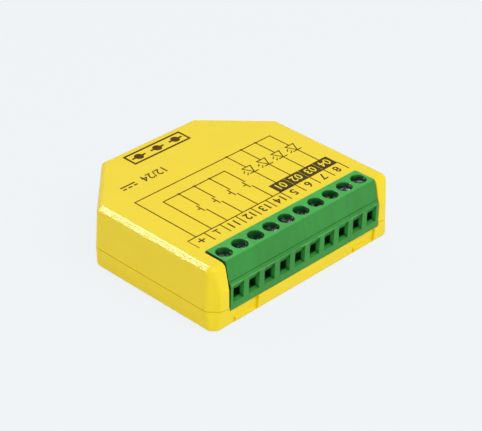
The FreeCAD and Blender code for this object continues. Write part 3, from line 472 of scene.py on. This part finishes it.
MATERIALS = {
    # Yellow plastic takes painted bounce light in the shade of its crevices and seams
    "yellow_plastic": moulded("yellow_plastic", YELLOW, rough=0.22, grain=0.0006,
                              grain_scale=6500.0, spread=0.02, specular=0.35,
                              crevice_paint=PAINTED_CREVICE_AMBER, reach=1.6, closed=(0.3, 0.68), seam=0.35,
                              rim_grain=0.12),
    # Green plastic takes painted shade in its wells and crevices and on faces that don't look up,
    # and a painted highlight along its front edge
    "green_plastic": moulded("green_plastic", GREEN, rough=0.36, grain=0.006, mottle=0.04,
                             specular=0.32, crevice_paint=PAINTED_SHADE_GREEN, reach=2.0,
                             closed=(0.52, 0.8), side_shade=PAINTED_SIDE_SHADE, bands=0.08,
                             highlight=PAINTED_HIGHLIGHT_GREEN),
    "screw_steel": screw_metal("screw_steel"),
    "clamp_steel": metal("clamp_steel", (0.42, 0.42, 0.40), 0.38),
    "tinned_copper": metal("tinned_copper", (0.62, 0.58, 0.5), 0.35),
    "solder": metal("solder", (0.6, 0.61, 0.62), 0.28),
    "board_laminate": laminate("board_laminate", (0.012, 0.10, 0.045), (0.03, 0.18, 0.08)),
    "radio_laminate": laminate("radio_laminate", (0.012, 0.016, 0.03), (0.03, 0.035, 0.06)),
    "shield_plate": metal("shield_plate", (0.66, 0.66, 0.64), 0.32),
    "chip_plastic": moulded("chip_plastic", BLACK, rough=0.5, grain=0.002),
    "chip_ceramic": ceramic("chip_ceramic", (0.40, 0.28, 0.16)),
    "resistor_ceramic": ceramic("resistor_ceramic", (0.02, 0.02, 0.022), 0.3),
    "ferrite": ceramic("ferrite", (0.04, 0.04, 0.042), 0.6),
    "crystal_can": metal("crystal_can", (0.72, 0.73, 0.74), 0.25),
    "capacitor_can": metal("capacitor_can", (0.74, 0.75, 0.77), 0.3),
    "black_plastic": moulded("black_plastic", BLACK, rough=0.45),
    "button_plastic": moulded("button_plastic", (0.022, 0.024, 0.027), rough=0.4),
    "switch_plastic": moulded("switch_plastic", (0.03, 0.03, 0.032), rough=0.45),
    "clear_plastic": clear_plastic("clear_plastic"),
    "led_resin": ceramic("led_resin", (0.85, 0.82, 0.66), 0.3),
    "gold_contact": metal("gold_contact", (0.83, 0.62, 0.24), 0.25, tarnish=(0.6, 0.42, 0.16)),
    "copper_trace": metal("copper_trace", (0.72, 0.38, 0.2), 0.3),
}


def dress_nodes():
    """Give every CAD node the material of its slot."""
    slots = {s["node"]: s["material_slot"] for s in frame["record"]["subparts"]}
    for name, node in frame["nodes"].items():
        material = MATERIALS[slots[name]]
        if not node.material_slots:
            node.data.materials.append(material)
        for place in node.material_slots:
            place.material = material


# Print
def mesh_object(name, verts, faces, material):
    mesh = bpy.data.meshes.new(name)
    mesh.from_pydata(verts, [], faces)
    mesh.update()
    mesh.materials.append(material)
    return placed(name, mesh)


class Drawing:
    """Flat strokes and filled shapes on the cover, in millimetres."""

    def __init__(self):
        self.verts = []
        self.faces = []
        self.layer = 0

    def fill(self, points):
        """Thin plate over a convex outline given anticlockwise."""
        self.layer += 1
        high = TOP + (INK + INK_STEP * self.layer) * MM
        low = TOP - INK_SINK * MM
        start = len(self.verts)
        count = len(points)
        self.verts += [(x * MM, y * MM, low) for x, y in points]
        self.verts += [(x * MM, y * MM, high) for x, y in points]
        self.faces.append(tuple(start + count + i for i in range(count)))
        self.faces.append(tuple(start + i for i in reversed(range(count))))
        for i in range(count):
            j = (i + 1) % count
            self.faces.append((start + i, start + j, start + count + j, start + count + i))

    def line(self, a, b, width=LINE, over=0.0):
        """Straight stroke from a to b, lengthened by over at both ends."""
        ax, ay = a
        bx, by = b
        length = math.hypot(bx - ax, by - ay)
        ux, uy = (bx - ax) / length, (by - ay) / length
        ax, ay, bx, by = ax - ux * over, ay - uy * over, bx + ux * over, by + uy * over
        nx, ny = -uy * width / 2, ux * width / 2
        self.fill([(ax - nx, ay - ny), (bx - nx, by - ny), (bx + nx, by + ny), (ax + nx, ay + ny)])

    def chain(self, points, width=LINE):
        """Strokes from point to point, with square corners."""
        for a, b in zip(points, points[1:]):
            self.line(a, b, width, width / 2)

    def dot(self, x, y, radius=DOT_RADIUS, sides=DOT_SIDES):
        self.fill([(x + radius * math.cos(t), y + radius * math.sin(t))
                   for t in (2 * math.pi * i / sides for i in range(sides))])

    def arrow(self, a, b):
        """Short stroke from a to b with a filled head at b."""
        length = math.hypot(b[0] - a[0], b[1] - a[1])
        ux, uy = (b[0] - a[0]) / length, (b[1] - a[1]) / length
        neck = (b[0] - ux * ARROW_HEAD, b[1] - uy * ARROW_HEAD)
        self.line(a, neck, ARROW_LINE, ARROW_OVERLAP)
        side = ARROW_HEAD * ARROW_HEAD_SHARE
        self.fill([(neck[0] + uy * side, neck[1] - ux * side), b,
                   (neck[0] - uy * side, neck[1] + ux * side)])

    def finish(self, name, material):
        """One piece of all the strokes, which rides on the controller."""
        piece = mesh_object(name, self.verts, self.faces, material)
        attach(piece, BODY)


def led_symbol(d, x):
    """Diode pointing at the terminals, with two arrows for its light."""
    left, right = x - DIODE_HALF_WIDTH, x + DIODE_HALF_WIDTH
    d.line((x, OUTER_RAIL_Y), (x, DIODE_BASE_Y))
    d.chain([(left, DIODE_BASE_Y), (right, DIODE_BASE_Y)])
    d.chain([(right, DIODE_BASE_Y), (x, DIODE_TIP_Y), (left, DIODE_BASE_Y)],
            LINE * DIODE_SIDE_LINE)
    d.line((left, DIODE_TIP_Y), (right, DIODE_TIP_Y), LINE, DIODE_TIP_OVERHANG)
    d.line((x, DIODE_TIP_Y), (x, DIODE_LEAD_END_Y))
    for away, y in ARROW_STARTS:
        d.arrow((x - away, y), (x - away - ARROW_RUN, y - ARROW_FALL))


def switch_symbol(d, x):
    """Push button in a branch from the inner rail to the ruled row."""
    bar = x - BUTTON_BAR_LEFT
    cap = bar - BUTTON_STEM
    d.line((x, INNER_RAIL_Y), (x, BUTTON_LEAD_END_Y))
    d.line((bar, BUTTON_BAR_ENDS_Y[0]), (bar, BUTTON_BAR_ENDS_Y[1]))
    d.line((bar, BUTTON_STEM_Y), (cap, BUTTON_STEM_Y), LINE * BUTTON_STEM_LINE)
    d.line((cap, BUTTON_STEM_Y + BUTTON_CAP_HALF), (cap, BUTTON_STEM_Y - BUTTON_CAP_HALF),
           LINE * BUTTON_CAP_LINE)
    d.line((x, BUTTON_BRANCH_Y), (x, BASELINE_Y))


def rail(d, start_x, ways, y, symbol):
    """Rail from the ruled row to the last of some ways, each with a symbol under it."""
    d.chain([(start_x, BASELINE_Y), (start_x, y), (way_x(ways[-1]), y)])
    for way in ways:
        symbol(d, way_x(way))
        if way != ways[-1]:
            d.dot(way_x(way), y)


def supply_signs(d):
    """Plus sign and earth sign in the ruled row."""
    plus, earth = (way_x(way) for way in SUPPLY_WAYS)
    d.line((plus - PLUS_HALF_WIDTH, PLUS_Y), (plus + PLUS_HALF_WIDTH, PLUS_Y), PLUS_LINE)
    d.line((plus, PLUS_Y + PLUS_HALF_HEIGHT), (plus, PLUS_Y - PLUS_HALF_HEIGHT), PLUS_LINE)
    d.line((earth - EARTH_HALF_WIDTH, EARTH_Y), (earth + EARTH_HALF_WIDTH, EARTH_Y), EARTH_LINE)
    d.line((earth, EARTH_Y), (earth, EARTH_END_Y), EARTH_LINE)


def wiring_print(ink):
    """Rails, branches, symbols and the ruled row behind the block."""
    d = Drawing()
    left, right = ROW_ENDS
    d.line((left, BASELINE_Y), (right, BASELINE_Y))
    for i in range(WAYS + 1):
        x = left + i * PITCH
        width = LINE * (FIRST_SEPARATOR if i == 0 else 1)
        d.line((x, BASELINE_Y), (x, SEPARATOR_END_Y), width)
    rail(d, OUTER_RAIL_LEFT, OUTPUT_WAYS, OUTER_RAIL_Y, led_symbol)
    rail(d, way_x(SUPPLY_WAYS[1]), BUTTON_WAYS, INNER_RAIL_Y, switch_symbol)
    supply_signs(d)
    d.finish("wiring_print", ink)


def glyph_splines(text, size):
    """Outlines of some digits, in millimetres, centred on the origin. Size is the height
    of the digits and the width that they are narrowed to if they are wider."""
    height, width = size
    curve = bpy.data.curves.new("glyphs", "FONT")
    curve.body = text
    holder = placed("glyphs", curve)
    bpy.context.view_layer.update()
    outline = holder.to_curve(bpy.context.evaluated_depsgraph_get())
    found = [[[p.handle_left.copy(), p.co.copy(), p.handle_right.copy()]
              for p in spline.bezier_points] for spline in outline.splines]
    holder.to_curve_clear()
    bpy.data.objects.remove(holder)
    bpy.data.curves.remove(curve)
    places = [knot[1] for spline in found for knot in spline]
    low = Vector([min(p[i] for p in places) for i in range(2)] + [0])
    high = Vector([max(p[i] for p in places) for i in range(2)] + [0])
    middle, span = (low + high) / 2, high - low
    tall = height / span.y
    scale = Vector((min(tall, width / span.x), tall, 0))
    return [[[(p - middle) * scale for p in knot] for knot in spline] for spline in found]


def turned(splines, x, y):
    """Outlines turned to read from the rear edge, moved to x and y."""
    return [[[Vector((x - p.x, y - p.y, 0)) for p in knot] for knot in spline]
            for spline in splines]


def print_shape(name, splines, material, bold, layer=0):
    """Filled flat outline, with holes where outlines lie inside others.
    Bold widens its strokes, in millimetres to each side."""
    curve = bpy.data.curves.new(name, "CURVE")
    curve.dimensions = "2D"
    curve.fill_mode = "BOTH"
    curve.resolution_u = GLYPH_STEPS
    curve.extrude = INK * MM / 2
    curve.offset = bold * MM
    for points in splines:
        spline = curve.splines.new("BEZIER")
        spline.bezier_points.add(len(points) - 1)
        spline.use_cyclic_u = True
        for target, (before, place, after) in zip(spline.bezier_points, points):
            target.handle_left_type = target.handle_right_type = "FREE"
            target.co = place * MM
            target.handle_left = before * MM
            target.handle_right = after * MM
    holder = placed(name, curve)
    bpy.context.view_layer.update()
    mesh = bpy.data.meshes.new_from_object(holder.evaluated_get(
        bpy.context.evaluated_depsgraph_get()))
    bpy.data.objects.remove(holder)
    bpy.data.curves.remove(curve)
    mesh.transform(Matrix.Translation((0, 0, TOP + (layer + 0.5) * INK * MM)))
    mesh.materials.clear()
    mesh.materials.append(material)
    piece = placed(name, mesh)
    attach(piece, BODY)


def number_row(numbers, size, first_way, y):
    """Outlines of numbers over a row of terminals."""
    return [spline for i, text in enumerate(numbers)
            for spline in turned(glyph_splines(text, size), way_x(first_way + i), y)]


def number_prints(ink, field_ink):
    """Numbers over the terminals, and yellow numbers on a dark field over the outputs."""
    labels = number_row(TERMINAL_NUMBERS, TERMINAL_NUMBER_SIZE, BUTTON_WAYS[0], TERMINAL_NUMBER_Y)
    print_shape("terminal_numbers", labels, ink, TERMINAL_NUMBER_BOLD)
    field = Drawing()
    half = PITCH / 2 - FIELD_GAP
    for way in OUTPUT_WAYS:
        middle = way_x(way)
        left = FIELD_LEFT if way == OUTPUT_WAYS[0] else middle - half
        right = middle + half
        field.fill([(left, BASELINE_Y), (right, BASELINE_Y), (right, FIELD_END_Y),
                    (left, FIELD_END_Y)])
    field.finish("output_field", field_ink)
    numbers = number_row(OUTPUT_NUMBERS, OUTPUT_NUMBER_SIZE, OUTPUT_WAYS[0], OUTPUT_NUMBER_Y)
    print_shape("output_numbers", numbers, MATERIALS["yellow_plastic"], OUTPUT_NUMBER_BOLD,
                layer=OUTPUT_NUMBER_LAYER)


def supply_print(ink):
    """Plain numbers and the direct current sign at the rear of the cover."""
    numbers = turned(glyph_splines(SUPPLY_NUMBERS, SUPPLY_SIZE), *SUPPLY_PLACE)
    print_shape("supply_numbers", numbers, ink, SUPPLY_BOLD)
    d = Drawing()
    end = SIGN_START - (SIGN_DASHES - 1) * SIGN_STEP - SIGN_DASH
    d.line((SIGN_START, SIGN_SOLID_Y), (end, SIGN_SOLID_Y), SIGN_LINE)
    for i in range(SIGN_DASHES):
        x = SIGN_START - i * SIGN_STEP
        d.line((x, SIGN_DASHED_Y), (x - SIGN_DASH, SIGN_DASHED_Y), SIGN_LINE)
    d.finish("supply_sign", ink)


def strip_pictogram(ink):
    """Plain picture of a light strip with three lamps, near the rear edge of the cover."""
    d = Drawing()
    left, right = STRIP_X
    low, high = STRIP_Y
    middle = (low + high) / 2
    d.chain([(left, low), (right, low), (right, high), (left, high), (left, low)], STRIP_LINE)
    pitch = (right - left) / STRIP_LAMPS
    for i in range(STRIP_LAMPS):
        x = left + (i + 0.5) * pitch
        d.dot(x, middle, STRIP_LAMP_RADIUS, STRIP_LAMP_SIDES)
        for side in (-1, 1):
            d.line((x + side * STRIP_LAMP_RADIUS, middle), (x + side * STRIP_LEAD_END, middle),
                   STRIP_LINE)
    d.finish("strip_pictogram", ink)


# Stage, lights and camera
def floor_material():
    """Pale floor that the camera sees at an even tone, with a soft shadow in it."""
    material = bpy.data.materials.new("floor")
    material.use_nodes = True
    tree = material.node_tree
    tree.nodes.clear()
    out = tree.nodes.new("ShaderNodeOutputMaterial")
    mix = tree.nodes.new("ShaderNodeMixShader")
    plain = tree.nodes.new("ShaderNodeBsdfDiffuse")
    plain.inputs["Color"].default_value = FLOOR_LIT + (1,)
    seen = tree.nodes.new("ShaderNodeMixShader")
    seen.inputs["Fac"].default_value = FLOOR_SHADE_SHARE
    glow = tree.nodes.new("ShaderNodeEmission")
    glow.inputs["Color"].default_value = FLOOR_GLOW + (1,)
    glow.inputs["Strength"].default_value = 1.0
    soft = tree.nodes.new("ShaderNodeBsdfDiffuse")
    soft.inputs["Color"].default_value = FLOOR_SHADED + (1,)
    path = tree.nodes.new("ShaderNodeLightPath")
    tree.links.new(glow.outputs[0], seen.inputs[1])
    tree.links.new(soft.outputs[0], seen.inputs[2])
    tree.links.new(path.outputs["Is Camera Ray"], mix.inputs["Fac"])
    tree.links.new(plain.outputs[0], mix.inputs[1])
    tree.links.new(seen.outputs[0], mix.inputs[2])
    tree.links.new(mix.outputs[0], out.inputs["Surface"])
    return material


def stage():
    """Floor under the object, and an even world around it."""
    reach = FLOOR_REACH
    floor = mesh_object("floor", [(-reach, -reach, 0), (reach, -reach, 0), (reach, reach, 0),
                                  (-reach, reach, 0)], [(0, 1, 2, 3)], floor_material())
    world = bpy.data.worlds.new("studio")
    world.use_nodes = True
    bpy.context.scene.world = world
    back = world.node_tree.nodes["Background"]
    back.inputs["Color"].default_value = WORLD_COLOR + (1,)
    back.inputs["Strength"].default_value = WORLD_STRENGTH


def pose_matrix(across, upward, back, place):
    """World matrix from three axes and a place."""
    columns = (across, upward, back, place)
    return Matrix([[c[i] for c in columns] for i in range(3)] + [[0, 0, 0, 1]])


def lamps():
    """Area lamps that face the object, each given by its direction and radiance."""
    for name, towards, distance, width, height, radiance, mirrored in LAMPS:
        light = bpy.data.lights.new(name, "AREA")
        light.shape = "RECTANGLE"
        light.size = width
        light.size_y = height
        light.energy = radiance * math.pi * width * height
        lamp = placed(name, light)
        lamp.visible_diffuse = not mirrored
        away = Vector(towards).normalized()
        across = (Vector((0, 1, 0)).cross(away)).normalized()
        place = Vector(LAMP_AIM) + away * distance
        lamp.matrix_world = pose_matrix(across, away.cross(across), away, place)


def camera():
    """View of the photograph, from the fitted angles and distance."""
    a, e, r = (math.radians(v) for v in (CAMERA_AZIMUTH, CAMERA_ELEVATION, CAMERA_ROLL))
    back = Vector((math.sin(a) * math.cos(e), -math.cos(a) * math.cos(e), math.sin(e)))
    right = Vector((math.cos(a), math.sin(a), 0))
    up = back.cross(right)
    across = right * math.cos(r) + up * math.sin(r)
    upward = -right * math.sin(r) + up * math.cos(r)
    data = bpy.data.cameras.new("camera")
    data.sensor_fit = "HORIZONTAL"
    data.sensor_width = SENSOR_MM
    data.lens = FOCAL_PIXELS / IMAGE_WIDTH * SENSOR_MM
    data.clip_start, data.clip_end = CLIP_METRES
    view = placed("camera", data)
    place = (Vector(CAMERA_TARGET) + back * CAMERA_DISTANCE) * MM
    view.matrix_world = pose_matrix(across, upward, back, place)
    bpy.context.scene.camera = view


dress_nodes()
LINE_INK = ink_material("print_ink", (0.100, 0.050, 0.013), (0.148, 0.078, 0.022))
FIELD_INK = ink_material("print_ink_field", (0.074, 0.054, 0.020), (0.104, 0.079, 0.030))
wiring_print(LINE_INK)
number_prints(LINE_INK, FIELD_INK)
supply_print(LINE_INK)
strip_pictogram(LINE_INK)
stage()
lamps()
camera()
bpy.context.scene.view_settings.view_transform = "Standard"
